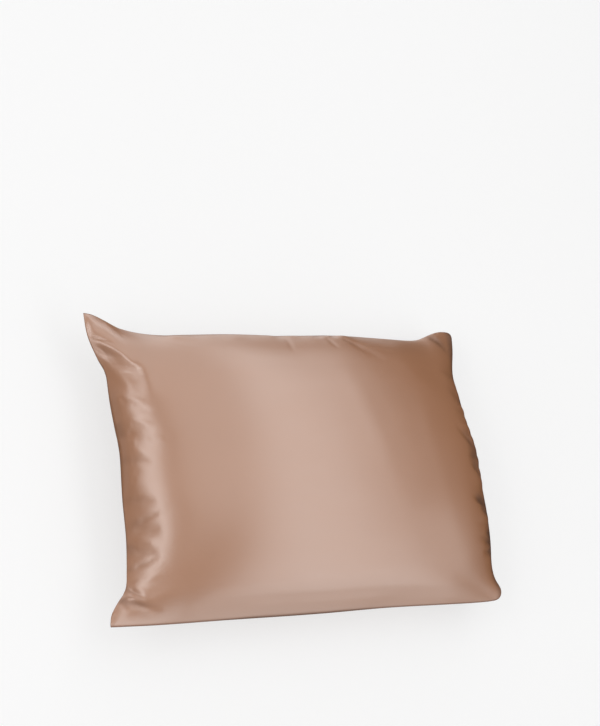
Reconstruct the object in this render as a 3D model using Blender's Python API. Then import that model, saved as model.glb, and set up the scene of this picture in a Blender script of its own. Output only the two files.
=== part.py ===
"""A satin pillowcase with a pillow in it, lying on its back: one closed, filled solid.

Units are metres. +Z is up and the front panel faces up, +X runs along the long side and +Y towards
the pillow's top edge. The origin is on the floor, under the middle of the pillow.

The case is two flat panels sewn together all round. Filled, its sides draw in between the four
corners, the cloth past the filling stays flat as an ear at each corner, and the panels pucker
where the sewn edge is now longer than the line that it runs along.
"""

import math
from typing import NamedTuple

import bmesh
import bpy
from mathutils import Vector

# ---------------------------------------------------------------- driving dimensions
SPAN_X = 0.670  # corner to corner along the long side, of a case cut 0.70 long
SPAN_Y = 0.472  # corner to corner along the short side, of a case cut 0.50 wide
THICKNESS = 0.155  # floor to the crown of the front panel
SEAM_HEIGHT = 0.066  # the sewn edge above the floor
SEAM_THICKNESS = 0.004  # two panels and their turned-in allowance

# The sewn edge rises and falls gently as it goes round.
SEAM_WAVE = 0.003
SEAM_WAVE_LENGTH_X = 0.41
SEAM_WAVE_LENGTH_Y = 0.29

# A panel's swell is (1 - across^power)^roundness along each way, across being 1 at the seam.
CROWN_POWER_X = 3.05
CROWN_POWER_Y = 2.25
CROWN_ROUNDNESS = 0.55
BACK_FLAT = 0.85  # the back panel lies flat on the floor where its swell is past this
BACK_LEVELLING = 4  # the lower, the more gently the back curves into its flat middle
FOLD_LIMIT = 0.75  # a fold never takes more than this share of the swell where it lies

CELLS_X = 58
CELLS_Y = 44
GRADE = 0.25  # how much closer the mesh lines stand at the sides than in the middle

SATIN_COLOUR = (0.50, 0.33, 0.235, 1.0)
SATIN_ROUGHNESS = 0.38
SATIN_METALLIC = 0.25


# ---------------------------------------------------------------- seam outline
class Station(NamedTuple):
    """A place along a side, and how far the seam is drawn in there from the corners' rectangle."""

    along: float
    inset: float


SIDES = {
    "left": (
        Station(-0.236, 0.003),
        Station(-0.220, 0.006),
        Station(-0.205, 0.015),
        Station(-0.185, 0.030),
        Station(-0.160, 0.034),
        Station(-0.110, 0.038),
        Station(-0.050, 0.0365),
        Station(0.020, 0.0385),
        Station(0.060, 0.034),
        Station(0.100, 0.030),
        Station(0.145, 0.027),
        Station(0.165, 0.016),
        Station(0.200, 0.004),
        Station(0.236, 0.000),
    ),
    "right": (
        Station(-0.236, 0.008),
        Station(-0.220, 0.000),
        Station(-0.205, 0.010),
        Station(-0.180, 0.0135),
        Station(-0.140, 0.0085),
        Station(-0.090, 0.005),
        Station(-0.040, 0.005),
        Station(0.000, 0.0065),
        Station(0.040, 0.0105),
        Station(0.080, 0.0175),
        Station(0.120, 0.0235),
        Station(0.155, 0.0285),
        Station(0.200, 0.021),
        Station(0.236, 0.018),
    ),
    "bottom": (
        Station(-0.335, 0.002),
        Station(-0.260, 0.0003),
        Station(-0.150, 0.001),
        Station(0.000, 0.001),
        Station(0.120, 0.003),
        Station(0.240, 0.002),
        Station(0.310, 0.002),
        Station(0.335, 0.004),
    ),
    "top": (
        Station(-0.335, 0.000),
        Station(-0.320, 0.003),
        Station(-0.300, 0.0125),
        Station(-0.280, 0.023),
        Station(-0.240, 0.031),
        Station(-0.190, 0.032),
        Station(-0.100, 0.027),
        Station(0.000, 0.026),
        Station(0.100, 0.022),
        Station(0.200, 0.024),
        Station(0.262, 0.0245),
        Station(0.284, 0.016),
        Station(0.310, 0.008),
        Station(0.335, 0.010),
    ),
}


class Ear(NamedTuple):
    """The cloth past the filling at a corner: its length along the two sides, and its tip's rise."""

    side_x: int
    side_y: int
    along_x: float
    along_y: float
    rise: float


EARS = (
    Ear(-1, 1, 0.170, 0.120, -0.004),
    Ear(-1, -1, 0.110, 0.110, -0.003),
    Ear(1, 1, 0.090, 0.070, 0.005),
    Ear(1, -1, 0.060, 0.060, 0.001),
)


class Fold(NamedTuple):
    """A soft trough in the front panel, or a ridge where its depth is below 0."""

    side: str
    at: float  # where along the side it would start
    start: float  # how far in from the side it begins
    end: float  # and ends
    lean: float  # how far it has moved along the side by its inner end
    width: float
    depth: float


FOLDS = (
    # Round the long, empty ear at the top left, and down the kink below it.
    Fold("left", 0.200, 0.000, 0.050, -0.016, 0.007, 0.003),
    Fold("left", 0.179, 0.000, 0.060, -0.024, 0.010, 0.007),
    Fold("left", 0.162, 0.015, 0.085, -0.034, 0.010, -0.004),
    Fold("left", 0.143, 0.000, 0.050, -0.014, 0.010, 0.007),
    # Puckers in from the left seam, and the short wrinkles that cross the left shoulder.
    Fold("left", 0.050, 0.000, 0.045, -0.034, 0.007, 0.006),
    Fold("left", 0.028, 0.030, 0.085, 0.004, 0.008, 0.003),
    Fold("left", -0.030, 0.030, 0.090, -0.006, 0.008, 0.003),
    Fold("left", -0.076, 0.030, 0.090, 0.006, 0.008, 0.004),
    Fold("left", -0.112, 0.000, 0.045, -0.022, 0.007, 0.006),
    Fold("left", -0.118, 0.035, 0.090, 0.004, 0.008, 0.003),
    Fold("left", -0.150, 0.030, 0.095, -0.004, 0.008, 0.005),
    # The pinched ear at the bottom left.
    Fold("left", -0.166, 0.010, 0.080, -0.010, 0.008, 0.003),
    Fold("left", -0.184, 0.000, 0.055, -0.016, 0.009, 0.008),
    Fold("left", -0.203, 0.000, 0.085, -0.012, 0.008, 0.005),
    # In from the top seam.
    Fold("top", -0.012, 0.000, 0.065, -0.010, 0.007, 0.004),
    Fold("top", 0.034, 0.000, 0.035, 0.000, 0.007, 0.003),
    Fold("top", 0.052, 0.000, 0.060, 0.016, 0.007, 0.005),
    Fold("top", 0.080, 0.000, 0.075, 0.042, 0.007, 0.005),
    Fold("top", 0.120, 0.010, 0.080, 0.040, 0.009, 0.004),
    # The tucked ear at the top right: its crease runs across the corner.
    Fold("top", 0.268, 0.000, 0.060, 0.030, 0.010, 0.008),
    # In from the right seam.
    Fold("right", 0.120, 0.000, 0.055, 0.004, 0.008, 0.003),
    Fold("right", 0.060, 0.000, 0.060, 0.006, 0.008, 0.004),
    Fold("right", 0.010, 0.000, 0.065, 0.006, 0.008, 0.004),
    Fold("right", -0.045, 0.000, 0.065, 0.006, 0.008, 0.005),
    Fold("right", -0.072, 0.000, 0.055, 0.004, 0.007, 0.004),
    Fold("right", -0.122, 0.000, 0.065, 0.004, 0.008, 0.005),
    Fold("right", -0.145, 0.000, 0.055, 0.002, 0.007, 0.004),
    Fold("right", -0.200, 0.000, 0.045, 0.006, 0.008, 0.006),
    # In from the bottom seam.
    Fold("bottom", -0.200, 0.000, 0.060, 0.010, 0.009, 0.003),
    Fold("bottom", -0.070, 0.000, 0.055, 0.004, 0.009, 0.005),
    Fold("bottom", 0.060, 0.000, 0.055, -0.004, 0.009, 0.003),
    Fold("bottom", 0.190, 0.000, 0.055, -0.006, 0.009, 0.004),
)


# ---------------------------------------------------------------- shape
def smooth_step(share):
    share = min(max(share, 0.0), 1.0)
    return share * share * (3.0 - 2.0 * share)


def inset_at(side, along):
    """The seam's inset at a place along a side, on a smooth curve through the side's stations."""
    stations = SIDES[side]
    last = len(stations) - 2
    first = next((i for i in range(last) if along < stations[i + 1].along), last)
    before, here = stations[max(first - 1, 0)], stations[first]
    there, after = stations[first + 1], stations[min(first + 2, last + 1)]
    step = there.along - here.along
    share = min(max((along - here.along) / step, 0.0), 1.0)
    slope_here = (there.inset - before.inset) / (there.along - before.along)
    slope_there = (after.inset - here.inset) / (after.along - here.along)
    straight = here.inset + (there.inset - here.inset) * smooth_step(share)
    bend = (1.0 - share) * slope_here - share * slope_there
    return straight + step * share * (1.0 - share) * bend


def plan_point(u, v):
    """(x, y) of a panel's point, where u and v run from -1 to 1 between the sides."""
    along_x, along_y = u * SPAN_X / 2, v * SPAN_Y / 2
    left = -SPAN_X / 2 + inset_at("left", along_y)
    right = SPAN_X / 2 - inset_at("right", along_y)
    bottom = -SPAN_Y / 2 + inset_at("bottom", along_x)
    top = SPAN_Y / 2 - inset_at("top", along_x)
    return left + (right - left) * (u + 1) / 2, bottom + (top - bottom) * (v + 1) / 2


def ear_reach(ear, u, v):
    """0 at an ear's tip and 1 where the filling starts."""
    from_side = (1 - u * ear.side_x) * SPAN_X / 2
    from_end = (1 - v * ear.side_y) * SPAN_Y / 2
    return smooth_step(from_side / ear.along_x + from_end / ear.along_y)


def fullness(u, v):
    """0 at the seam, low in the flat ears, and 1 at the crown."""
    share = (1.0 - abs(u) ** CROWN_POWER_X) * (1.0 - abs(v) ** CROWN_POWER_Y)
    share = max(share, 0.0) ** CROWN_ROUNDNESS
    for ear in EARS:
        share *= ear_reach(ear, u, v)
    return share


def seam_height(u, v):
    """The height that the sewn edge has, or would have, at a point of the plan."""
    x, y = u * SPAN_X / 2, v * SPAN_Y / 2
    turn = 2 * math.pi
    wave = math.sin(turn * x / SEAM_WAVE_LENGTH_X) * math.cos(turn * y / SEAM_WAVE_LENGTH_Y)
    rise = sum(ear.rise * (1.0 - ear_reach(ear, u, v)) for ear in EARS)
    return SEAM_HEIGHT + SEAM_WAVE * wave + rise


def fold_depth(u, v):
    """How deep the folds are at a point of the front panel."""
    inward = {
        "left": (1 + u) * SPAN_X / 2,
        "right": (1 - u) * SPAN_X / 2,
        "bottom": (1 + v) * SPAN_Y / 2,
        "top": (1 - v) * SPAN_Y / 2,
    }
    along = {
        "left": v * SPAN_Y / 2,
        "right": v * SPAN_Y / 2,
        "bottom": u * SPAN_X / 2,
        "top": u * SPAN_X / 2,
    }
    depth = 0.0
    for fold in FOLDS:
        share = (inward[fold.side] - fold.start) / (fold.end - fold.start)
        if not 0.0 <= share <= 1.0:
            continue
        off_line = along[fold.side] - fold.at - fold.lean * inward[fold.side] / fold.end
        across = math.exp(-((off_line / fold.width) ** 2))
        depth += fold.depth * across * math.sin(math.pi * math.sqrt(share))
    return depth


def limited(depth, limit):
    """A fold's depth, levelling off smoothly before it reaches the limit."""
    if depth <= 0.0:
        return depth
    return depth * limit / (depth + limit)


def front_point(u, v):
    x, y = plan_point(u, v)
    seam = seam_height(u, v) + SEAM_THICKNESS / 2
    swell = (THICKNESS - seam) * fullness(u, v)
    return Vector((x, y, seam + swell - limited(fold_depth(u, v), FOLD_LIMIT * swell)))


def back_point(u, v):
    x, y = plan_point(u, v)
    seam = seam_height(u, v) - SEAM_THICKNESS / 2
    share = min(fullness(u, v) / BACK_FLAT, 1.0)
    levelled = share + (share - share ** (BACK_LEVELLING + 1)) / BACK_LEVELLING
    return Vector((x, y, seam * (1.0 - levelled)))


# ---------------------------------------------------------------- building
def graded(share):
    """Moves an evenly spaced mesh line towards the nearer side."""
    return share * (1.0 + GRADE) - GRADE * share**3


def add_panel(mesh, point):
    """One panel as a grid of faces, each vertex put where point(u, v) says; returns its faces."""
    panel = bmesh.ops.create_grid(mesh, x_segments=CELLS_X, y_segments=CELLS_Y, size=1.0)["verts"]
    for vertex in panel:
        vertex.co = point(graded(vertex.co.x), graded(vertex.co.y))
    return {face for vertex in panel for face in vertex.link_faces}


def filled_case_mesh():
    """The front and back panels, sewn together by a narrow strip of faces round their edges."""
    shape = bmesh.new()
    add_panel(shape, front_point)
    back = add_panel(shape, back_point)
    bmesh.ops.reverse_faces(shape, faces=list(back))
    rim = [edge for edge in shape.edges if edge.is_boundary]
    bmesh.ops.bridge_loops(shape, edges=rim)
    bmesh.ops.recalc_face_normals(shape, faces=shape.faces)
    mesh = bpy.data.meshes.new("pillowcase")
    shape.to_mesh(mesh)
    shape.free()
    mesh.shade_smooth()
    return mesh


def satin():
    material = bpy.data.materials.new("satin")
    material.use_nodes = True
    shader = material.node_tree.nodes["Principled BSDF"]
    shader.inputs["Base Color"].default_value = SATIN_COLOUR
    shader.inputs["Roughness"].default_value = SATIN_ROUGHNESS
    shader.inputs["Metallic"].default_value = SATIN_METALLIC
    return material


def main():
    for old in list(bpy.data.objects):
        bpy.data.objects.remove(old)
    parts = bpy.data.collections.new("satin_pillowcase")
    bpy.context.scene.collection.children.link(parts)
    pillowcase = bpy.data.objects.new("pillowcase", filled_case_mesh())
    pillowcase.data.materials.append(satin())
    parts.objects.link(pillowcase)


main()
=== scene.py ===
"""A satin pillowcase filled by a pillow, on a pale floor.

The case is two panels sewn together round the frame's own seam. It starts on the frame's filled
solid, which gives its large form, and cloth pressure then stands the slack of a longer, flat cut
along the seams as small puckers. The cloth knows no floor, so the underside is levelled afterwards.
The front is ironed towards its middle, and its main wrinkles are laid in by name. The file is laid
out as an add-on: each operator makes one thing, and main() calls them in order.
"""

import math
from typing import NamedTuple

import bmesh
import bpy
import numpy as np
from bpy.props import FloatProperty, FloatVectorProperty, IntProperty, PointerProperty
from mathutils import Matrix, Quaternion, Vector, noise
from mathutils.bvhtree import BVHTree


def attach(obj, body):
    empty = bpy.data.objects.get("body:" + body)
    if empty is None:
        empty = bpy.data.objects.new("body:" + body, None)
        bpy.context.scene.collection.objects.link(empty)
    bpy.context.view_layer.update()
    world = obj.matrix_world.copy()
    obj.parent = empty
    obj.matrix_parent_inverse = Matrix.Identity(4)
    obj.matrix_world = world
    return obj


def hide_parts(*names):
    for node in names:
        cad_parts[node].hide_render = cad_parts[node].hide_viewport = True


bl_info = {
    "name": "Satin Pillowcase",
    "version": (1, 0, 0),
    "blender": (4, 5, 0),
    "location": "View3D > Sidebar > Pillowcase",
    "description": "Sews, fills and lights a satin pillowcase",
    "category": "Object",
}

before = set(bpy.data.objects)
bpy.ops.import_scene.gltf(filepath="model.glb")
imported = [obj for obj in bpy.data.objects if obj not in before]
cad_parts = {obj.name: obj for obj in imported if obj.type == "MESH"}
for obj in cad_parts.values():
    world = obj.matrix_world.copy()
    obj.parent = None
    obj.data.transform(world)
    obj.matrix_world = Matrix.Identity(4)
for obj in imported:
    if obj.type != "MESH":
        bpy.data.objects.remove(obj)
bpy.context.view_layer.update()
FILLED_NODE = "pillowcase"

# The photograph's frame, and the camera that it was taken with.
IMAGE_HEIGHT = 726
FOCAL_PIXELS = 1310
SENSOR_WIDTH = 36.0
SEAM_HEIGHT = 0.066
CAMERA_PLACE = Vector((-0.931, -0.463, 1.769 + SEAM_HEIGHT))
CAMERA_AIM = Vector((0.019, 0.165, SEAM_HEIGHT))
CAMERA_ROLL = math.radians(53.51)


# ---------------------------------------------------------------- settings
class CaseSizes(bpy.types.PropertyGroup):
    cut_length: FloatProperty(
        name="Cut length",
        description="Length of each flat panel before it is sewn and filled",
        default=0.70,
        unit="LENGTH",
    )
    cut_width: FloatProperty(
        name="Cut width",
        description="Width of each flat panel before it is sewn and filled",
        default=0.50,
        unit="LENGTH",
    )
    cells_long: IntProperty(
        name="Cells along",
        description="Mesh cells of the cloth along the long side, before they are halved",
        default=110,
        min=20,
    )
    cells_wide: IntProperty(
        name="Cells across",
        description="Mesh cells of the cloth along the short side, before they are halved",
        default=112,
        min=14,
    )
    grade_long: FloatProperty(
        name="Grading along",
        description="How much closer the mesh lines stand at the short sides than in the middle",
        default=0.28,
        min=0.0,
        max=0.4,
    )
    grade_wide: FloatProperty(
        name="Grading across",
        description="How much closer the mesh lines stand at the long sides than in the middle",
        default=0.12,
        min=0.0,
        max=0.4,
    )
    pressure: FloatProperty(
        name="Pressure", description="Pressure of the filling on the cloth", default=4.0
    )
    frames: IntProperty(
        name="Frames", description="Frames for which the cloth settles", default=24, min=2
    )
    most_motion: FloatProperty(
        name="Most motion",
        description="Furthest that a point of the cloth may move while it fills",
        default=0.014,
        unit="LENGTH",
    )


class SatinFinish(bpy.types.PropertyGroup):
    colour: FloatVectorProperty(
        name="Colour",
        description="Colour of the satin",
        subtype="COLOR",
        size=4,
        default=(0.46, 0.200, 0.092, 1.0),
        min=0.0,
        max=1.0,
    )
    # Painted shade: the satin's colour is darkened towards this in creases, gathers, over the top
    # right corner and along the right and bottom seams, where shade falls.
    painted_shade_colour: FloatVectorProperty(
        name="Painted shade colour",
        description="Colour of the satin deep in a crease, where little light reaches it",
        subtype="COLOR",
        size=4,
        default=(0.250, 0.106, 0.050, 1.0),
        min=0.0,
        max=1.0,
    )
    # Painted shade: how deep a crease must be to take the whole painted shade colour.
    painted_shade_depth: FloatProperty(
        name="Painted shade depth",
        description="Depth of a crease that has its whole colour",
        default=0.0050,
        unit="LENGTH",
    )
    roughness: FloatProperty(
        name="Roughness",
        description="How far the satin's gloss spreads",
        subtype="FACTOR",
        default=0.32,
        min=0.0,
        max=1.0,
    )
    weave: FloatProperty(
        name="Weave",
        description="Height of the satin's long threads above the ones that tie them down",
        default=0.00002,
        unit="LENGTH",
    )


class StudioLooks(bpy.types.PropertyGroup):
    floor_colour: FloatVectorProperty(
        name="Floor",
        description="Colour of the floor",
        subtype="COLOR",
        size=4,
        default=(0.35, 0.35, 0.35, 1.0),
        min=0.0,
        max=1.0,
    )


# ---------------------------------------------------------------- the sewn panels
WELD = 1e-5
WELD_DIGITS = 5
MOST_RISE = 0.02  # of the normal of a face that stands upright
LOOP_POINTS = 1200
ROUND_POINTS = 5  # on either side of each point, taken into its average
ROUNDED_FROM = (0.0, 0.1)  # where the rounding sets in, from left to right


def graded(share, grade):
    """A share from -1 to 1, drawn towards the ends."""
    return share * (1.0 + grade) - grade * share**3


def seam_loop():
    """The frame's sewn edge as an (n, 3) loop, counter-clockwise from above."""
    mesh = bmesh.new()
    mesh.from_mesh(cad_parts[FILLED_NODE].data)
    bmesh.ops.remove_doubles(mesh, verts=mesh.verts, dist=WELD)
    mesh.normal_update()
    upright = [f for f in mesh.faces if abs(f.normal.z) < MOST_RISE]
    rim = {}
    for vertex in {v for f in upright for v in f.verts}:
        place = tuple(round(value, WELD_DIGITS) for value in vertex.co.xy)
        rim.setdefault(place, []).append(vertex.co.z)
    mesh.free()
    loop = np.array([(x, y, sum(z) / len(z)) for (x, y), z in rim.items()])
    return rounded(loop[np.argsort(np.arctan2(loop[:, 1], loop[:, 0]))])


def rounded(loop):
    """The loop with its right corners rounded; the left ones are pulled out to a point."""
    even = along(np.concatenate([loop, loop[:1]]), np.arange(LOOP_POINTS) / LOOP_POINTS)
    shifts = range(-ROUND_POINTS, ROUND_POINTS + 1)
    smooth = sum(np.roll(even, shift, axis=0) for shift in shifts) / len(shifts)
    return even + (smooth - even) * ramp(even[:, :1], *ROUNDED_FROM)


def seam_sides(loop):
    """The loop's four sides, each from its left or bottom corner to its right or top one."""
    half = np.abs(loop[:, :2]).max(0)
    corners = {}
    for side_x in (-1, 1):
        for side_y in (-1, 1):
            reach = side_x * loop[:, 0] / half[0] + side_y * loop[:, 1] / half[1]
            corners[side_x, side_y] = int(np.argmax(reach))

    def run(first, last):
        count = (last - first) % len(loop)
        return loop[[(first + i) % len(loop) for i in range(count + 1)]]

    return {
        "bottom": run(corners[-1, -1], corners[1, -1]),
        "right": run(corners[1, -1], corners[1, 1]),
        "top": run(corners[1, 1], corners[-1, 1])[::-1],
        "left": run(corners[-1, 1], corners[-1, -1])[::-1],
    }


def along(side, shares):
    """Points at these shares, 0 to 1, of a side's length."""
    steps = np.linalg.norm(np.diff(side, axis=0), axis=1)
    length = np.concatenate([[0.0], np.cumsum(steps)])
    return np.stack([np.interp(shares, length / length[-1], side[:, k]) for k in range(3)], axis=-1)


def spanned(sides, u, v):
    """The surface that spans the four sides, at grid positions u by v, each from -1 to 1."""
    s, t = (u + 1) / 2, (v + 1) / 2
    bottom, top = along(sides["bottom"], s)[:, None], along(sides["top"], s)[:, None]
    left, right = along(sides["left"], t)[None], along(sides["right"], t)[None]
    s, t = s[:, None, None], t[None, :, None]
    corners = (
        (1 - s) * (1 - t) * bottom[:1]
        + s * (1 - t) * bottom[-1:]
        + (1 - s) * t * top[:1]
        + s * t * top[-1:]
    )
    return (1 - t) * bottom + t * top + (1 - s) * left + s * right - corners


def resting(points, way):
    """The points moved straight up or down onto the frame's filled solid."""
    solid = bmesh.new()
    solid.from_mesh(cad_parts[FILLED_NODE].data)
    tree = BVHTree.FromBMesh(solid)
    solid.free()
    placed = points.copy()
    for index in np.ndindex(points.shape[:2]):
        x, y, z = points[index]
        hit = tree.ray_cast(Vector((x, y, z + way)), Vector((0, 0, -way)))[0]
        if hit is not None:
            placed[index] = hit
    return placed


def shown(obj):
    """The object, now in the scene."""
    bpy.context.scene.collection.objects.link(obj)
    return obj


class SewnCase:
    """Two grids of points sewn along their shared edge, as one closed mesh."""

    def __init__(self, u, v):
        columns, rows = len(u), len(v)
        front = np.arange(columns * rows).reshape(columns, rows)
        inner = np.zeros((columns, rows), bool)
        inner[1:-1, 1:-1] = True
        back = front.copy()
        back[inner] = columns * rows + np.arange(int(inner.sum()))
        self.front, self.back, self.inner = front, back, inner
        self.count = columns * rows + int(inner.sum())

    def points(self, front, back):
        """One list of points from a front and a back grid of them."""
        joined = np.zeros((self.count, 3))
        joined[self.back] = back
        joined[self.front] = front
        return joined

    def quads(self):
        """The corners of every face, as rows of four."""
        faces = []
        for panel, turned in ((self.front, False), (self.back, True)):
            corners = (panel[:-1, :-1], panel[1:, :-1], panel[1:, 1:], panel[:-1, 1:])
            if turned:
                corners = corners[::-1]
            faces.append(np.stack([c.ravel() for c in corners], axis=-1))
        return np.concatenate(faces)

    def mesh(self, points):
        """A smooth mesh through these points."""
        made = bpy.data.meshes.new("pillowcase")
        made.from_pydata(points.tolist(), [], self.quads().tolist())
        made.update()
        made.shade_smooth()
        return made

    def mark(self, mesh, name, front):
        """Keep a grid of numbers on the mesh's front, for its material to read."""
        numbers = np.zeros(self.count)
        numbers[self.front] = front
        mesh.attributes.new(name, "FLOAT", "POINT").data.foreach_set("value", numbers)


# ---------------------------------------------------------------- filling
CLOTH = {
    "quality": 6,
    "mass": 0.3,
    "air_damping": 3.0,
    "tension_stiffness": 40.0,
    "compression_stiffness": 40.0,
    "shear_stiffness": 6.0,
    "bending_stiffness": 0.02,
    "tension_damping": 15.0,
    "compression_damping": 15.0,
    "shear_damping": 10.0,
    "bending_damping": 0.5,
}
TINY = 1e-12


def filled(case, start, flat, sizes):
    """The points after cloth pressure has filled the case: start is pinned at its sewn edge."""
    body = shown(bpy.data.objects.new("filling_case", case.mesh(start)))
    body.shape_key_add(name="start")
    cut = body.shape_key_add(name="cut")
    cut.data.foreach_set("co", flat.ravel())
    cut.value = 0.0
    sewn = body.vertex_groups.new(name="sewn")
    sewn.add(case.front[~case.inner].tolist(), 1.0, "REPLACE")
    cloth = body.modifiers.new("cloth", "CLOTH")
    cloth.point_cache.frame_end = sizes.frames
    cloth.collision_settings.use_collision = False
    settings = cloth.settings
    settings.rest_shape_key = cut
    settings.vertex_group_mass = "sewn"
    settings.use_pressure = True
    settings.uniform_pressure_force = sizes.pressure
    settings.effector_weights.gravity = 0.0
    for name, value in CLOTH.items():
        setattr(settings, name, value)
    for number in range(1, sizes.frames + 1):
        bpy.context.scene.frame_set(number)
    settled = body.evaluated_get(bpy.context.evaluated_depsgraph_get()).data
    points = np.zeros(case.count * 3)
    settled.vertices.foreach_get("co", points)
    bpy.data.objects.remove(body)
    bpy.context.scene.frame_set(1)
    return points.reshape(-1, 3)


def capped(start, end, most):
    """end, with no point further than most from where it started."""
    move = end - start
    length = np.linalg.norm(move, axis=1, keepdims=True)
    return start + move * (most / np.maximum(length, most))


def ramp(value, first, last):
    """0 before first, 1 after last, and a smooth rise between them."""
    share = np.clip((value - first) / (last - first), 0.0, 1.0)
    return share * share * (3.0 - 2.0 * share)


def finer(grid):
    """The grid with a point added on the smooth curve between every two of its points."""
    for axis in (0, 1):
        lines = np.moveaxis(grid, axis, 0)
        if len(lines) < 2:
            continue
        padded = np.concatenate([2 * lines[:1] - lines[1:2], lines, 2 * lines[-1:] - lines[-2:-1]])
        # The middle of the cubic through four points in a row.
        between = (9 * (padded[1:-2] + padded[2:-1]) - padded[:-3] - padded[3:]) / 16
        woven = np.empty((2 * len(lines) - 1, *lines.shape[1:]))
        woven[::2], woven[1::2] = lines, between
        grid = np.moveaxis(woven, 0, axis)
    return grid


def facing(grid):
    """The unit normals of a grid of points."""
    across = np.cross(np.gradient(grid, axis=0), np.gradient(grid, axis=1))
    return across / np.maximum(np.linalg.norm(across, axis=-1, keepdims=True), TINY)


# ---------------------------------------------------------------- wrinkles
class Side(NamedTuple):
    """How the cloth's own wrinkles fade inward from a side."""

    kept: float  # they stay whole up to here
    faint: float  # they are faint from here
    smooth: float  # and gone from here


IRONED = {
    "left": Side(0.012, 0.045, 0.110),
    "right": Side(0.026, 0.045, 0.070),
    "bottom": Side(0.002, 0.015, 0.030),
    "top": Side(0.010, 0.030, 0.060),
}
FAINT = 0.25  # the share of a wrinkle that is left where it is faint
IRON_PASSES = 60


class Ear(NamedTuple):
    """A corner whose own wrinkles are ironed out, for the named ones below to take their place."""

    x: int
    y: int
    whole: float  # they are gone up to this distance from the corner
    fading: float
    curl: float  # how far its tip curls up, or down below zero
    curl_reach: float


CURL_POWER = 1.5
EARS = (
    Ear(-1, 1, 0.10, 0.15, 0.013, 0.11),
    Ear(-1, -1, 0.14, 0.22, 0.014, 0.11),
    Ear(1, 1, 0.16, 0.24, -0.026, 0.16),
    Ear(1, -1, 0.18, 0.28, -0.006, 0.12),
)


class Gather(NamedTuple):
    """Uneven small wrinkles that cross a side, between two distances in from it, with painted shade
    in their low parts.
    """

    side: str
    near: float
    far: float
    spacing: float
    height: float
    shade: float  # painted shade, as dark as a crease of this depth


GATHER_GAIN = 1.6
GATHER_SHADED = 0.5  # gathers lower than this get painted shade
GATHER_CORNERS = (0.50, 0.75)  # shares of the way to a corner, over which they fade
GATHER_SEAM = (-0.002, 0.012)
GATHERS = (
    Gather("left", 0.030, 0.095, 0.020, 0.00025, 0.0),
    Gather("right", 0.000, 0.070, 0.015, 0.0014, 0.0010),
    Gather("top", 0.000, 0.030, 0.024, 0.0003, 0.0),
)


class Rim(NamedTuple):
    """A painted shade that lies along a side's seam."""

    side: str
    width: float
    shade: float  # painted shade, as dark as a crease of this depth


RIMS = (
    Rim("right", 0.020, 0.0028),
    Rim("bottom", 0.005, 0.0048),
)


class Wrinkle(NamedTuple):
    """A ridge, or a crease where the height is below zero, along a bent line in the plan."""

    start: tuple
    bend: tuple
    end: tuple
    width: float
    height: float
    dark: float = 1.0  # how much more painted shade it gets than others as deep


# Creases, where the height is below zero, also get painted shade in the satin's colour.
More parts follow.
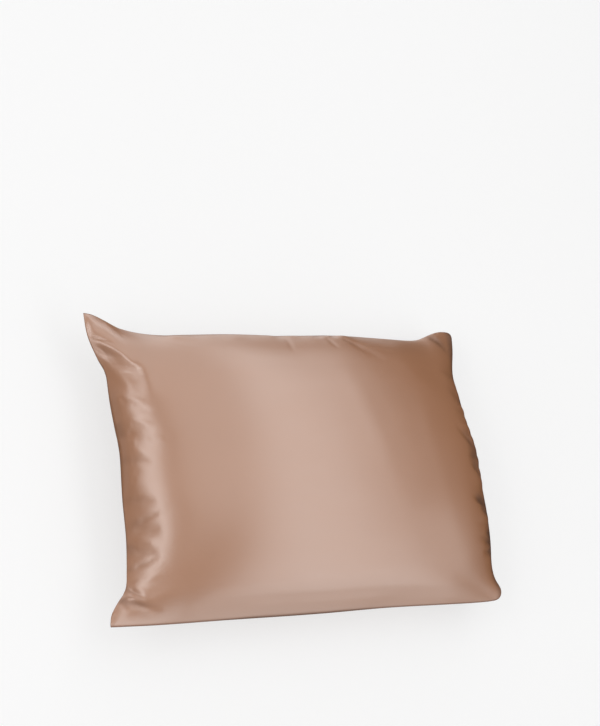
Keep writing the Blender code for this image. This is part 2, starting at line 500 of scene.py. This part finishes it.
WRINKLES = (
    # The folded ear at the top left, down to the kink in the left side.
    Wrinkle((-0.336, 0.240), (-0.325, 0.218), (-0.322, 0.197), 0.0120, 0.0018),
    Wrinkle((-0.338, 0.199), (-0.312, 0.194), (-0.290, 0.178), 0.0026, -0.0012),
    Wrinkle((-0.333, 0.193), (-0.285, 0.178), (-0.268, 0.130), 0.0045, 0.0011),
    Wrinkle((-0.336, 0.186), (-0.305, 0.171), (-0.282, 0.142), 0.0072, -0.0026),
    Wrinkle((-0.330, 0.162), (-0.284, 0.140), (-0.280, 0.092), 0.0075, 0.0015),
    Wrinkle((-0.270, 0.160), (-0.254, 0.125), (-0.258, 0.080), 0.0120, 0.0018),
    # Across the left shoulder, downwards.
    Wrinkle((-0.296, 0.098), (-0.280, 0.090), (-0.264, 0.078), 0.0045, 0.0004),
    Wrinkle((-0.292, 0.083), (-0.274, 0.074), (-0.256, 0.063), 0.0055, -0.0006),
    Wrinkle((-0.292, 0.061), (-0.274, 0.053), (-0.258, 0.043), 0.0045, 0.0007),
    Wrinkle((-0.300, 0.056), (-0.298, 0.040), (-0.288, 0.026), 0.0040, -0.0016),
    Wrinkle((-0.296, 0.022), (-0.282, 0.010), (-0.262, 0.002), 0.0050, 0.0007),
    Wrinkle((-0.268, 0.028), (-0.255, 0.025), (-0.240, 0.022), 0.0050, 0.0004),
    Wrinkle((-0.296, 0.004), (-0.277, -0.008), (-0.260, -0.011), 0.0060, -0.0011),
    Wrinkle((-0.296, -0.056), (-0.277, -0.063), (-0.262, -0.067), 0.0060, -0.0010),
    Wrinkle((-0.286, -0.090), (-0.273, -0.087), (-0.256, -0.078), 0.0045, -0.0011),
    Wrinkle((-0.294, -0.097), (-0.272, -0.107), (-0.256, -0.106), 0.0080, -0.0014),
    Wrinkle((-0.302, -0.114), (-0.296, -0.124), (-0.284, -0.132), 0.0035, -0.0014),
    Wrinkle((-0.292, -0.112), (-0.275, -0.120), (-0.260, -0.130), 0.0045, 0.0008),
    Wrinkle((-0.294, -0.131), (-0.275, -0.136), (-0.260, -0.139), 0.0060, -0.0011),
    Wrinkle((-0.297, -0.155), (-0.278, -0.150), (-0.256, -0.140), 0.0045, -0.0013),
    Wrinkle((-0.302, -0.174), (-0.279, -0.176), (-0.258, -0.168), 0.0040, 0.0009),
    # The pinched ear at the bottom left.
    Wrinkle((-0.318, -0.170), (-0.300, -0.184), (-0.272, -0.212), 0.0040, -0.0022),
    Wrinkle((-0.306, -0.194), (-0.292, -0.198), (-0.276, -0.204), 0.0040, 0.0012),
    Wrinkle((-0.312, -0.196), (-0.290, -0.212), (-0.256, -0.217), 0.0045, -0.0024),
    Wrinkle((-0.318, -0.196), (-0.310, -0.208), (-0.304, -0.220), 0.0035, -0.0010),
    Wrinkle((-0.338, -0.226), (-0.326, -0.216), (-0.314, -0.202), 0.0120, 0.0026),
    # In from the top.
    Wrinkle((-0.014, 0.208), (-0.014, 0.185), (-0.020, 0.160), 0.0035, -0.0006),
    Wrinkle((0.058, 0.208), (0.060, 0.190), (0.068, 0.172), 0.0040, -0.0008),
    Wrinkle((0.084, 0.204), (0.100, 0.190), (0.122, 0.172), 0.0050, -0.0007),
    Wrinkle((0.096, 0.196), (0.116, 0.176), (0.150, 0.152), 0.0090, -0.0007),
    # The painted shade over the top right corner, and the tuck across it.
    Wrinkle((0.318, 0.226), (0.290, 0.200), (0.236, 0.176), 0.0240, -0.0008, 60.0),
    Wrinkle((0.264, 0.224), (0.285, 0.206), (0.304, 0.172), 0.0055, -0.0010, 1.8),
    # Soft drapes down the right.
    Wrinkle((0.052, 0.165), (0.092, 0.044), (0.135, -0.130), 0.0200, 0.0003),
    Wrinkle((0.196, 0.140), (0.184, -0.011), (0.244, -0.200), 0.0200, 0.0005),
    # In from the right.
    Wrinkle((0.308, 0.014), (0.286, 0.028), (0.258, 0.046), 0.0065, -0.0022, 0.7),
    Wrinkle((0.310, -0.002), (0.295, 0.001), (0.272, -0.010), 0.0055, -0.0024),
    Wrinkle((0.314, -0.032), (0.298, -0.026), (0.280, -0.014), 0.0055, -0.0022),
    Wrinkle((0.322, -0.078), (0.300, -0.078), (0.264, -0.070), 0.0060, -0.0024),
    Wrinkle((0.324, -0.096), (0.310, -0.092), (0.288, -0.086), 0.0055, -0.0022),
    Wrinkle((0.326, -0.126), (0.314, -0.126), (0.296, -0.122), 0.0055, -0.0026),
    Wrinkle((0.324, -0.140), (0.310, -0.141), (0.288, -0.146), 0.0050, -0.0022),
    Wrinkle((0.322, -0.154), (0.308, -0.157), (0.284, -0.161), 0.0050, -0.0020),
)
WRINKLE_STEPS = 12
WRINKLE_RISE = (0.0, 0.30)  # shares of its length over which a wrinkle rises
WRINKLE_FALL = (0.55, 1.0)
SHADE_FALL = (0.35, 1.0)
SHADE_SPREAD = 1.5  # the width of a crease's painted shade over its own
NARROW = 0.0065  # wider creases hold less painted shade
SEAM_FADE = 0.012


def inward(u, v, sizes):
    """How far each point of the flat panels lies in from each side."""
    u, v = np.meshgrid(u, v, indexing="ij")
    return {
        "left": (1 + u) * sizes.cut_length / 2,
        "right": (1 - u) * sizes.cut_length / 2,
        "bottom": (1 + v) * sizes.cut_width / 2,
        "top": (1 - v) * sizes.cut_width / 2,
    }


def from_corner(ear, reach):
    """How far each point of the flat panels lies from an ear's corner."""
    return np.hypot(
        reach["left" if ear.x < 0 else "right"], reach["bottom" if ear.y < 0 else "top"]
    )


def curled(grid, reach):
    """The grid with its ears curled up or bent down, along the camera's lines of sight."""
    bent = grid.copy()
    for ear in EARS:
        tip = np.array(CAMERA_PLACE) - grid[0 if ear.x < 0 else -1, 0 if ear.y < 0 else -1]
        share = np.clip(1 - from_corner(ear, reach) / ear.curl_reach, 0.0, 1.0) ** CURL_POWER
        bent += tip / tip[2] * ear.curl * share[..., None]
    return bent


def ironed(grid, plain, reach):
    """The grid with the wrinkles smoothed out of its middle; plain is where it lay in the plan."""
    share, gone = np.ones(grid.shape[:2]), np.ones(grid.shape[:2])
    for side, fade in IRONED.items():
        share = share * ramp(reach[side], fade.kept, fade.faint)
        gone = gone * ramp(reach[side], fade.faint, fade.smooth)
    for ear in EARS:
        flat = 1 - ramp(from_corner(ear, reach), ear.whole, ear.fading)
        share, gone = share + (1 - share) * flat, gone + (1 - gone) * flat
    share = share[1:-1, 1:-1, None]
    even = plain * (1, 1, 0)
    moved = grid - even
    for _ in range(IRON_PASSES):
        around = moved[:-2, 1:-1] + moved[2:, 1:-1] + moved[1:-1, :-2] + moved[1:-1, 2:]
        moved[1:-1, 1:-1] += share * (around / 4 - moved[1:-1, 1:-1])
    moved += (grid - even - moved) * FAINT * (1 - gone[..., None])
    return even + moved


def min_reach(reach):
    """How far each point lies in from the nearest side."""
    return np.minimum.reduce(list(reach.values()))


def gathers(grid, reach):
    """How high the gathers stand at each point, and how much painted shade they get."""
    height, shade = np.zeros(grid.shape[:2]), np.zeros(grid.shape[:2])
    for number, gather in enumerate(GATHERS):
        run = grid[..., 1] if gather.side in ("left", "right") else grid[..., 0]
        depth = reach[gather.side]
        to_corner = np.abs(run) / np.abs(run).max()
        middle = (gather.near + gather.far) / 2
        share = ramp(depth, *((gather.near, middle) if gather.near else GATHER_SEAM))
        share = share * (1 - ramp(depth, middle, gather.far))
        share = share * (1 - ramp(to_corner, *GATHER_CORNERS))
        for index in zip(*np.nonzero(share)):
            place = Vector((run[index] / gather.spacing, depth[index] / gather.far, number))
            lift = noise.noise(place) * GATHER_GAIN
            height[index] += gather.height * share[index] * lift
            shade[index] += gather.shade * share[index] * max(GATHER_SHADED - lift, 0.0)
    return height, shade


def rims(reach):
    """How much painted shade lies along the seams at each point."""
    return sum(rim.shade * (1 - ramp(reach[rim.side], 0.0, rim.width)) for rim in RIMS)


def wrinkles(grid):
    """How high the named wrinkles stand at each point, and how much painted shade their creases
    get.
    """
    height, shade = np.zeros(grid.shape[:2]), np.zeros(grid.shape[:2])
    plan = grid[..., :2]
    for wrinkle in WRINKLES:
        start, bend, end = (np.array(point) for point in wrinkle[:3])
        nearest, share = np.full(height.shape, np.inf), np.zeros(height.shape)
        for step in range(WRINKLE_STEPS):
            ends = []
            for t in (step / WRINKLE_STEPS, (step + 1) / WRINKLE_STEPS):
                ends.append((1 - t) ** 2 * start + 2 * t * (1 - t) * bend + t * t * end)
            way = ends[1] - ends[0]
            off = plan - ends[0]
            t = np.clip((off @ way) / (way @ way), 0.0, 1.0)
            distance = np.linalg.norm(off - t[..., None] * way, axis=-1)
            share = np.where(distance < nearest, (step + t) / WRINKLE_STEPS, share)
            nearest = np.minimum(nearest, distance)
        taper = ramp(share, *WRINKLE_RISE) * (1 - ramp(share, *WRINKLE_FALL))
        height += wrinkle.height * taper * np.exp(-((nearest / wrinkle.width) ** 2))
        taper = 1 - ramp(share, *SHADE_FALL)
        around = np.exp(-((nearest / (wrinkle.width * SHADE_SPREAD)) ** 2))
        depth = max(-wrinkle.height, 0.0) * wrinkle.dark * min(NARROW / wrinkle.width, 1.0) ** 3
        shade += depth * taper * around
    return height, shade


class PILLOWCASE_OT_fill(bpy.types.Operator):
    """Cut, sew and fill the satin case round the frame's seam"""

    bl_idname = "pillowcase.fill"
    bl_label = "Fill the Case"

    def execute(self, context):
        sizes = context.scene.case_sizes
        u = graded(np.linspace(-1, 1, sizes.cells_long + 1), sizes.grade_long)
        v = graded(np.linspace(-1, 1, sizes.cells_wide + 1), sizes.grade_wide)
        case = SewnCase(u, v)
        span = spanned(seam_sides(seam_loop()), u, v)
        front, back = span.copy(), span.copy()
        front[1:-1, 1:-1] = resting(span[1:-1, 1:-1], 1.0)
        back[1:-1, 1:-1] = resting(span[1:-1, 1:-1], -1.0)
        reach = inward(u, v, sizes)
        front = ironed(front, span, reach)
        cut = np.zeros_like(span)
        cut[..., 0] = u[:, None] * sizes.cut_length / 2
        cut[..., 1] = v[None, :] * sizes.cut_width / 2
        start, flat = case.points(front, back), case.points(cut, cut)
        end = capped(start, filled(case, start, flat, sizes), sizes.most_motion)
        front, back = ironed(end[case.front], span, reach), end[case.back]
        front, back = finer(front), finer(back)
        u, v = finer(u[:, None])[:, 0], finer(v[:, None])[:, 0]
        case = SewnCase(u, v)
        reach = inward(u, v, sizes)
        (rise, dark), (risen, darkened) = gathers(front, reach), wrinkles(front)
        lift = (rise + risen) * ramp(min_reach(reach), 0.0, SEAM_FADE)
        front = front + facing(front) * lift[..., None]
        points = case.points(curled(front, reach), curled(back, reach))
        points[:, 2] = np.maximum(points[:, 2], 0.0)
        piece = shown(bpy.data.objects.new("satin_case", case.mesh(points)))
        # Painted shade from the creases, the gathers and the right and bottom seams, kept for the
        # satin to darken its colour by.
        case.mark(piece.data, PAINTED_SHADE_NAME, dark + darkened + rims(reach))
        piece.data.materials.append(satin(context.scene.satin_finish))
        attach(piece, "root")
        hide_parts(FILLED_NODE)
        return {"FINISHED"}


# ---------------------------------------------------------------- shader maths
class Socket:
    """A node's output, on which Python's operators add Math nodes."""

    def __init__(self, tree, output):
        self.tree, self.output = tree, output

    def _math(self, operation, first, second):
        return self.tree.node(
            "ShaderNodeMath", {"operation": operation}, {0: first, 1: second}
        )

    def __add__(self, other):
        return self._math("ADD", self, other)

    def __sub__(self, other):
        return self._math("SUBTRACT", self, other)

    def __rsub__(self, other):
        return self._math("SUBTRACT", other, self)

    def __mul__(self, other):
        return self._math("MULTIPLY", self, other)

    __radd__ = __add__
    __rmul__ = __mul__

    def __abs__(self):
        return self._math("ABSOLUTE", self, 0.0)


class Tree:
    """A node tree, with one way to add any node."""

    def __init__(self, tree, shader="Principled BSDF"):
        self.nodes, self.links = tree.nodes, tree.links
        self.shader = tree.nodes[shader]

    def put(self, node, sockets):
        for key, value in sockets.items():
            if isinstance(value, Socket):
                self.links.new(value.output, node.inputs[key])
            else:
                node.inputs[key].default_value = value

    def node(self, kind, settings=None, sockets=None, output=0):
        made = self.nodes.new(kind)
        for key, value in (settings or {}).items():
            setattr(made, key, value)
        self.put(made, sockets or {})
        return Socket(self, made.outputs[output])

    def mixed(self, share, first, second):
        """The first colour at a share of 0, the second at 1."""
        return self.node(
            "ShaderNodeMix", {"data_type": "RGBA"}, {0: share, 6: first, 7: second}, output=2
        )

    def ramped(self, value, first, last, before, after):
        """before up to first, after past last, and a smooth change between them."""
        ends = {"From Min": first, "From Max": last, "To Min": before, "To Max": after}
        return self.node(
            "ShaderNodeMapRange", {"interpolation_type": "SMOOTHSTEP"}, {"Value": value, **ends}
        )


# How many grains there are to the metre along each axis of the case.
THREADS = (60.0, 2600.0, 2600.0)
TIES = (2600.0, 300.0, 300.0)
SLUBS = (9.0, 420.0, 420.0)
CLOUDS = (7.0, 7.0, 7.0)
# The name of the mesh attribute that holds the painted shade.
PAINTED_SHADE_NAME = "painted_shade"
TONES = (0.86, 1.14)  # the satin's darkest and palest, over its own colour
THREAD_TONE, SLUB_TONE, CLOUD_TONE = 0.16, 0.12, 0.30
# The last of these roughens the satin where shade is painted into its colour.
SLUB_GLOSS, CLOUD_GLOSS, PAINTED_SHADE_GLOSS = 0.10, 0.06, 0.15
TIE_WEAVE, SLUB_WEAVE = 0.5, 1.5
MIDDLE = 0.5  # the middle value of any grain
GLOSS_INDEX = 2.8
# Metallic share where shade is painted, which takes the white gloss off the painted shade.
PAINTED_SHADE_METAL = 0.6


def shaded(colour, share):
    """The colour, darker or paler by this share."""
    return (*(channel * share for channel in colour[:3]), 1.0)


def material(name):
    """A new material and its node tree."""
    made = bpy.data.materials.new(name)
    made.use_nodes = True
    return made, Tree(made.node_tree)


def grain(tree, place, scale, detail=2.0):
    """Noise from 0 to 1 with this many grains to the metre along each axis."""
    spread = tree.node("ShaderNodeVectorMath", {"operation": "MULTIPLY"}, {0: place, 1: scale})
    return tree.node(
        "ShaderNodeTexNoise", sockets={"Vector": spread, "Scale": 1.0, "Detail": detail}
    )


def satin(finish):
    """Long threads along the case that lie on a fine weave, with slubs, a little unevenness, and
    painted shade in its creases and along two seams.
    """
    made, tree = material("satin")
    place = tree.node("ShaderNodeTexCoord", output="Object")
    threads, ties, slubs, clouds = (
        grain(tree, place, scale) for scale in (THREADS, TIES, SLUBS, CLOUDS)
    )
    # Painted shade: the colour darkens towards the painted shade colour and turns partly metallic
    # where the mesh attribute marks creases, gathers, the top right corner and the right and bottom
    # seams.
    depth = tree.node("ShaderNodeAttribute", {"attribute_name": PAINTED_SHADE_NAME}, output="Fac")
    painted_shade = tree.ramped(depth, 0.0, finish.painted_shade_depth, 0.0, 1.0)
    tone = (clouds - MIDDLE) * CLOUD_TONE + (slubs - MIDDLE) * SLUB_TONE
    tone = tone + (threads - MIDDLE) * THREAD_TONE
    colour = tree.mixed(tone + MIDDLE, *(shaded(finish.colour, share) for share in TONES))
    colour = tree.mixed(painted_shade, colour, tuple(finish.painted_shade_colour))
    gloss = (slubs - MIDDLE) * SLUB_GLOSS + (clouds - MIDDLE) * CLOUD_GLOSS
    gloss = gloss + painted_shade * PAINTED_SHADE_GLOSS
    weave = threads + ties * TIE_WEAVE + slubs * SLUB_WEAVE
    bump = tree.node(
        "ShaderNodeBump", sockets={"Strength": 1.0, "Distance": finish.weave, "Height": weave}
    )
    looks = {"Base Color": colour, "Roughness": gloss + finish.roughness, "Normal": bump}
    tree.put(tree.shader, {**looks, "Metallic": painted_shade * PAINTED_SHADE_METAL, "IOR": GLOSS_INDEX})
    return made


# ---------------------------------------------------------------- stage
class HoopEnd(NamedTuple):
    """One end of an arc of soft boxes round the X axis; the angles are in degrees."""

    turn: float  # round the X axis, from straight up towards +Y
    lean: float  # from there towards +X
    width: float


class Hoop(NamedTuple):
    """Soft boxes set end to end on an arc, so that a fold's sheen runs along Y."""

    name: str
    first: HoopEnd
    last: HoopEnd
    boxes: int
    glow: float
    mirrored: bool  # whether the satin's gloss shows it


HOOPS = (
    Hoop("main", HoopEnd(-80, 27, 1.40), HoopEnd(80, 19, 0.85), 6, 1.28, True),
    Hoop("left", HoopEnd(-35, -48, 0.75), HoopEnd(50, -43, 0.75), 3, 1.72, True),
    Hoop("top", HoopEnd(-10, -6, 1.4), HoopEnd(80, -6, 1.4), 3, 0.52, True),
    Hoop("low", HoopEnd(-60, 52, 0.9), HoopEnd(-5, 52, 0.9), 2, 0.52, True),
    Hoop("side", HoopEnd(-50, -60, 2.0), HoopEnd(30, -60, 2.0), 2, 1.7, False),
)
HOOP_RADIUS = 3.0
WORLD_LIGHT = 0.33
DIM_LIGHT = 0.05
DARK_RIGHT = (0.62, 1.10)
RIGHT_LEAN = (0.6, -0.3)  # how far that dark side leans to the rear and upward
DARK_EDGE = (1.0, 1.2)
DARK_LEFT = (-0.95, -0.75)
LEFT_LIGHT = 0.55
DARK_BELOW = (-0.90, -0.50)
BELOW_LIGHT = 0.2
HORIZON_FRONT = 0.66
HORIZON_REAR = 1.03
HORIZON_ENDS = (-0.3, 0.3)
HORIZON_HEIGHT = -0.25
HORIZON_DEPTH = (0.25, 0.55)
HORIZON_MIDDLES = (0.11, 0.05)
HORIZON_WIDTH = (0.38, 0.58)
HORIZON_RIGHT = (1.24, 1.38)
PALE = 0.93
WHITE = (1.0, 1.0, 1.0, 1.0)
FLOOR_SIZE = 6.0
FLOOR_DROP = 0.0005
FLOOR_ROUGHNESS = 0.8
FLOOR_GLOW = 0.63


def light_hoop(hoop):
    """Area lights that face the pillow from along the hoop's arc."""
    turn = math.radians(hoop.last.turn - hoop.first.turn) / hoop.boxes
    for number in range(hoop.boxes):
        share = (number + 0.5) / hoop.boxes
        _, lean, width = (a + (b - a) * share for a, b in zip(hoop.first, hoop.last))
        angle = math.radians(hoop.first.turn) + turn * (number + 0.5)
        lean = math.radians(lean)
        ring = HOOP_RADIUS * math.cos(lean)
        light = bpy.data.lights.new(f"{hoop.name}_{number}", "AREA")
        light.shape = "RECTANGLE"
        light.size, light.size_y = width, 2 * ring * math.tan(turn / 2)
        light.energy = hoop.glow * math.pi * light.size * light.size_y
        placed = shown(bpy.data.objects.new(light.name, light))
        out = Vector((math.tan(lean), math.sin(angle), math.cos(angle)))
        placed.location = out * ring + Vector((0, 0, SEAM_HEIGHT))
        length = Vector((0, math.cos(angle), -math.sin(angle)))
        outward = out.normalized()
        across = length.cross(outward)
        placed.rotation_euler = Matrix((across, length, outward)).transposed().to_euler()
        placed.visible_glossy = hoop.mirrored


def studio_world():
    """An even world to light by, which the camera sees as pale as the floor.

    It is brighter low down in front and behind, for the rounded long sides, and dark on the right.
    """
    world = bpy.data.worlds.new("studio")
    world.use_nodes = True
    tree = Tree(world.node_tree, "Background")
    way = tree.node("ShaderNodeTexCoord", output="Generated")
    x, y, height = (
        tree.node("ShaderNodeSeparateXYZ", sockets={"Vector": way}, output=name) for name in "XYZ"
    )
    rightward = x + y * RIGHT_LEAN[0] + height * RIGHT_LEAN[1]
    even = tree.ramped(rightward, *DARK_RIGHT, WORLD_LIGHT, DIM_LIGHT)
    even = even * tree.ramped(height, *DARK_BELOW, BELOW_LIGHT, 1.0)
    even = even * tree.ramped(x - height, *DARK_EDGE, 1.0, 0.0)
    even = even * tree.ramped(x, *DARK_LEFT, LEFT_LIGHT, 1.0)
    low = tree.ramped(y, *HORIZON_ENDS, HORIZON_FRONT, HORIZON_REAR)
    low = low * tree.ramped(abs(height - HORIZON_HEIGHT), *HORIZON_DEPTH, 1.0, 0.0)
    middle = tree.ramped(y, *HORIZON_ENDS, *HORIZON_MIDDLES)
    low = low * tree.ramped(abs(x - middle), *HORIZON_WIDTH, 1.0, 0.0)
    low = low * tree.ramped(x + y, *HORIZON_RIGHT, 1.0, 0.0)
    lit = tree.node("ShaderNodeBackground", sockets={"Color": WHITE, "Strength": even + low})
    tree.put(tree.shader, {"Color": WHITE, "Strength": PALE})
    seen = Socket(tree, tree.shader.outputs["Background"])
    camera = tree.node("ShaderNodeLightPath", output="Is Camera Ray")
    mix = tree.node("ShaderNodeMixShader", sockets={"Fac": camera, 1: lit, 2: seen})
    tree.put(tree.nodes["World Output"], {"Surface": mix})
    return world


class PILLOWCASE_OT_stage(bpy.types.Operator):
    """Set the floor, the lights and the camera"""

    bl_idname = "pillowcase.stage"
    bl_label = "Set the Stage"

    def execute(self, context):
        scene = context.scene
        floor_mesh = bmesh.new()
        bmesh.ops.create_grid(floor_mesh, x_segments=1, y_segments=1, size=FLOOR_SIZE)
        data = bpy.data.meshes.new("floor")
        floor_mesh.to_mesh(data)
        floor_mesh.free()
        floor = shown(bpy.data.objects.new("floor", data))
        floor.location.z = -FLOOR_DROP
        paint, tree = material("floor")
        tree.put(
            tree.shader,
            {
                "Base Color": tuple(scene.studio_looks.floor_colour),
                "Roughness": FLOOR_ROUGHNESS,
                "Emission Color": WHITE,
                "Emission Strength": FLOOR_GLOW,
            },
        )
        floor.data.materials.append(paint)
        floor.visible_glossy = floor.visible_diffuse = False
        for hoop in HOOPS:
            light_hoop(hoop)
        scene.world = studio_world()
        scene.view_settings.view_transform = "Standard"

        lens = bpy.data.cameras.new("camera")
        lens.sensor_width = SENSOR_WIDTH
        lens.lens = FOCAL_PIXELS * SENSOR_WIDTH / IMAGE_HEIGHT
        camera = shown(bpy.data.objects.new("camera", lens))
        camera.location = CAMERA_PLACE
        looking = (CAMERA_AIM - CAMERA_PLACE).to_track_quat("-Z", "Y")
        camera.rotation_euler = (looking @ Quaternion((0, 0, 1), CAMERA_ROLL)).to_euler()
        scene.camera = camera
        return {"FINISHED"}


# ---------------------------------------------------------------- add-on
class PILLOWCASE_PT_panel(bpy.types.Panel):
    """Lists what the pillowcase is made from"""

    bl_label = "Pillowcase"
    bl_idname = "PILLOWCASE_PT_panel"
    bl_space_type = "VIEW_3D"
    bl_region_type = "UI"
    bl_category = "Pillowcase"

    def draw(self, context):
        for settings in (
            context.scene.case_sizes,
            context.scene.satin_finish,
            context.scene.studio_looks,
        ):
            for name in settings.__annotations__:
                self.layout.prop(settings, name)
        for operator in OPERATORS:
            self.layout.operator(operator.bl_idname)


OPERATORS = (PILLOWCASE_OT_stage, PILLOWCASE_OT_fill)
CLASSES = (CaseSizes, SatinFinish, StudioLooks, *OPERATORS, PILLOWCASE_PT_panel)


def register():
    for cls in CLASSES:
        bpy.utils.register_class(cls)
    bpy.types.Scene.case_sizes = PointerProperty(type=CaseSizes)
    bpy.types.Scene.satin_finish = PointerProperty(type=SatinFinish)
    bpy.types.Scene.studio_looks = PointerProperty(type=StudioLooks)


def unregister():
    del bpy.types.Scene.case_sizes
    del bpy.types.Scene.satin_finish
    del bpy.types.Scene.studio_looks
    for cls in reversed(CLASSES):
        bpy.utils.unregister_class(cls)


def main():
    register()
    bpy.ops.pillowcase.stage()
    bpy.ops.pillowcase.fill()


if __name__ == "__main__":
    main()
